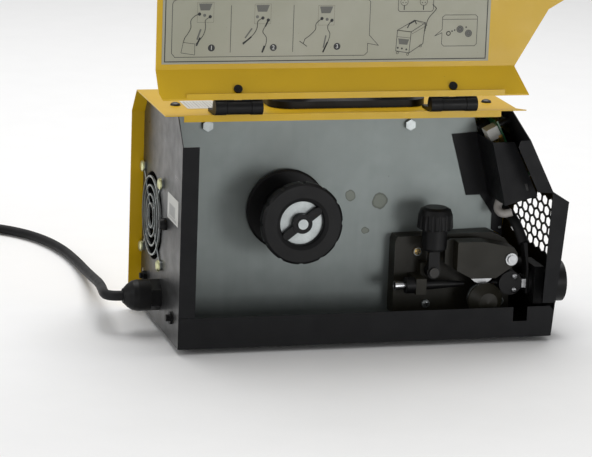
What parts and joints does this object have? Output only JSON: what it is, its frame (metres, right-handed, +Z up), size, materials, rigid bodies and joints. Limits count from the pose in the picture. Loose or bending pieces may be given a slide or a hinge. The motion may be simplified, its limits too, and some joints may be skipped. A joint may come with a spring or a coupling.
{
  "type": "welder with built-in wire feeder",
  "caption": "Portable inverter welder with built-in wire feeder: yellow and black sheet case, hinged side door open over spool hub and drive unit, rear fan, carry handle, mains lead",
  "frame": {"origin": "on the floor, under the middle of the bounding box with the door standing open", "axes": "+X from the rear panel to the front panel with the torch socket, +Y from the door side to the closed side, +Z up"},
  "size_m": [0.7256, 0.5715, 0.463],
  "materials": {
    "black_coat": "fine satin powder coat",
    "yellow_coat": "semi-gloss powder coat",
    "galvanised": "mottled hot-dip zinc, a little stained",
    "steel": "bright zinc plate",
    "zinc_yellow": "yellow-passivated zinc",
    "chrome": "bright nickel",
    "black_plastic": "moulded glass-filled nylon",
    "black_rubber": "dull black rubber",
    "label": "matt printed film",
    "board": "solder mask",
    "ribbon": "pale pvc sleeve",
    "aluminium": "extruded, as drawn",
    "copper": "enamelled copper and ferrite",
    "window": "smoked window",
    "knob_red": "moulded red"
  },
  "bodies": {
    "case": {"base_tray": "black_coat", "feet": "black_rubber", "rear_panel": "black_coat", "front_lower": "black_coat", "front_upper": "black_coat", "top_cover": "yellow_coat", "partition": "galvanised", "case_screws": "steel", "carry_handle": "black_plastic", "hinge_cover_leaves": "black_plastic", "fan_frame": "black_plastic", "fan_guard": "steel", "fan_screws": "zinc_yellow", "gland_body": "black_plastic", "gland_nut": "black_plastic", "rear_fittings": "black_plastic", "rear_labels": "label", "hub_axle": "steel", "drive_plate": "black_plastic", "feed_motor": "black_coat", "inlet_guide": "black_plastic", "outlet_guide": "black_plastic", "pivot_screws": "chrome", "euro_connector": "black_plastic", "euro_nut": "chrome", "output_sockets": "black_plastic", "power_lead": "black_rubber", "control_box": "black_coat", "control_board": "board", "panel_fittings": "window", "ribbon_cable": "ribbon", "main_board": "board", "heat_sinks": "aluminium", "main_transformer": "copper", "mains_cord": "black_rubber", "cord_coil": "black_rubber", "mains_plug": "black_rubber"},
    "door": {"door_panel": "yellow_coat", "door_label": "label", "hinge_door_leaves": "black_plastic", "door_bolts": "steel"},
    "latch": {"door_latch": "black_plastic"},
    "hub": {"spool_hub": "black_plastic", "brake_spring": "steel"},
    "nut": {"hub_nut": "black_plastic", "hub_washer": "steel"},
    "fan": {"fan_rotor": "black_plastic"},
    "button": {"overload_button": "black_plastic"},
    "roll": {"drive_roll": "steel", "roll_knob": "black_plastic"},
    "pinion": {"motor_pinion": "steel"},
    "arm": {"pressure_arm": "black_plastic"},
    "idler": {"pressure_roll": "chrome"},
    "tensioner": {"tension_arm": "black_plastic"},
    "tension_cap": {"tension_knob": "black_plastic"},
    "knob_1": {"control_knob_1": "black_plastic"},
    "knob_2": {"control_knob_2": "black_plastic"},
    "rocker": {"power_rocker": "knob_red"}
  },
  "joints": [
    {"name": "door_hinge", "type": "hinge", "parent": "case", "child": "door", "pos_m": [-0.01801, -0.0714, 0.238], "axis": [1, 0, 0], "range_deg": [0, 180]},
    {"name": "latch_turn", "type": "hinge", "parent": "door", "child": "latch", "pos_m": [0.16429, -0.0529, 0.4475], "axis": [0, 1, 0], "range_deg": [0, 90]},
    {"name": "spool_spin", "type": "hinge", "parent": "case", "child": "hub", "pos_m": [-0.05941, -0.0434, 0.1238], "axis": [0, 1, 0], "continuous": true},
    {"name": "hub_nut_turn", "type": "hinge", "parent": "case", "child": "nut", "pos_m": [-0.05941, -0.0734, 0.1238], "axis": [0, 1, 0], "continuous": true},
    {"name": "fan_spin", "type": "hinge", "parent": "case", "child": "fan", "pos_m": [-0.16901, 0.036, 0.1087], "axis": [1, 0, 0], "continuous": true},
    {"name": "overload_press", "type": "slide", "parent": "case", "child": "button", "axis": [1, 0, 0], "range_m": [0, 0.002], "stiffness_N_per_m": 200, "springref_m": -0.001},
    {"name": "drive_roll_spin", "type": "hinge", "parent": "case", "child": "roll", "pos_m": [0.13699, -0.0504, 0.036], "axis": [0, 1, 0], "continuous": true},
    {"name": "pinion_spin", "type": "hinge", "parent": "case", "child": "pinion", "pos_m": [0.11799, -0.0184, 0.051], "axis": [0, 1, 0], "continuous": true},
    {"name": "pressure_arm_swing", "type": "hinge", "parent": "case", "child": "arm", "pos_m": [0.16199, -0.0504, 0.0775], "axis": [0, 1, 0], "range_deg": [0, 45]},
    {"name": "idler_spin", "type": "hinge", "parent": "arm", "child": "idler", "pos_m": [0.13399, -0.0504, 0.0658], "axis": [0, 1, 0], "continuous": true},
    {"name": "tension_arm_swing", "type": "hinge", "parent": "case", "child": "tensioner", "pos_m": [0.08399, -0.0504, 0.0645], "axis": [0, -1, 0], "range_deg": [0, 60]},
    {"name": "tension_knob_turn", "type": "hinge", "parent": "tensioner", "child": "tension_cap", "pos_m": [0.08399, -0.0504, 0.105], "axis": [0, 0, 1], "continuous": true},
    {"name": "control_knob_1_turn", "type": "hinge", "parent": "case", "child": "knob_1", "pos_m": [0.17826, -0.0334, 0.17893], "axis": [0.8942, 0, 0.4477], "range_deg": [-140, 140]},
    {"name": "control_knob_2_turn", "type": "hinge", "parent": "case", "child": "knob_2", "pos_m": [0.17826, 0.0316, 0.17893], "axis": [0.8942, 0, 0.4477], "range_deg": [-140, 140]},
    {"name": "rocker_tilt", "type": "hinge", "parent": "case", "child": "rocker", "pos_m": [0.17692, -0.0009, 0.17825], "axis": [0, 1, 0], "range_deg": [-5, 5]}
  ],
  "couplings": [
    {"joint": "pinion_spin", "follows": "drive_roll_spin", "ratio": -1.4286},
    {"joint": "idler_spin", "follows": "drive_roll_spin", "ratio": -1.087}
  ]
}
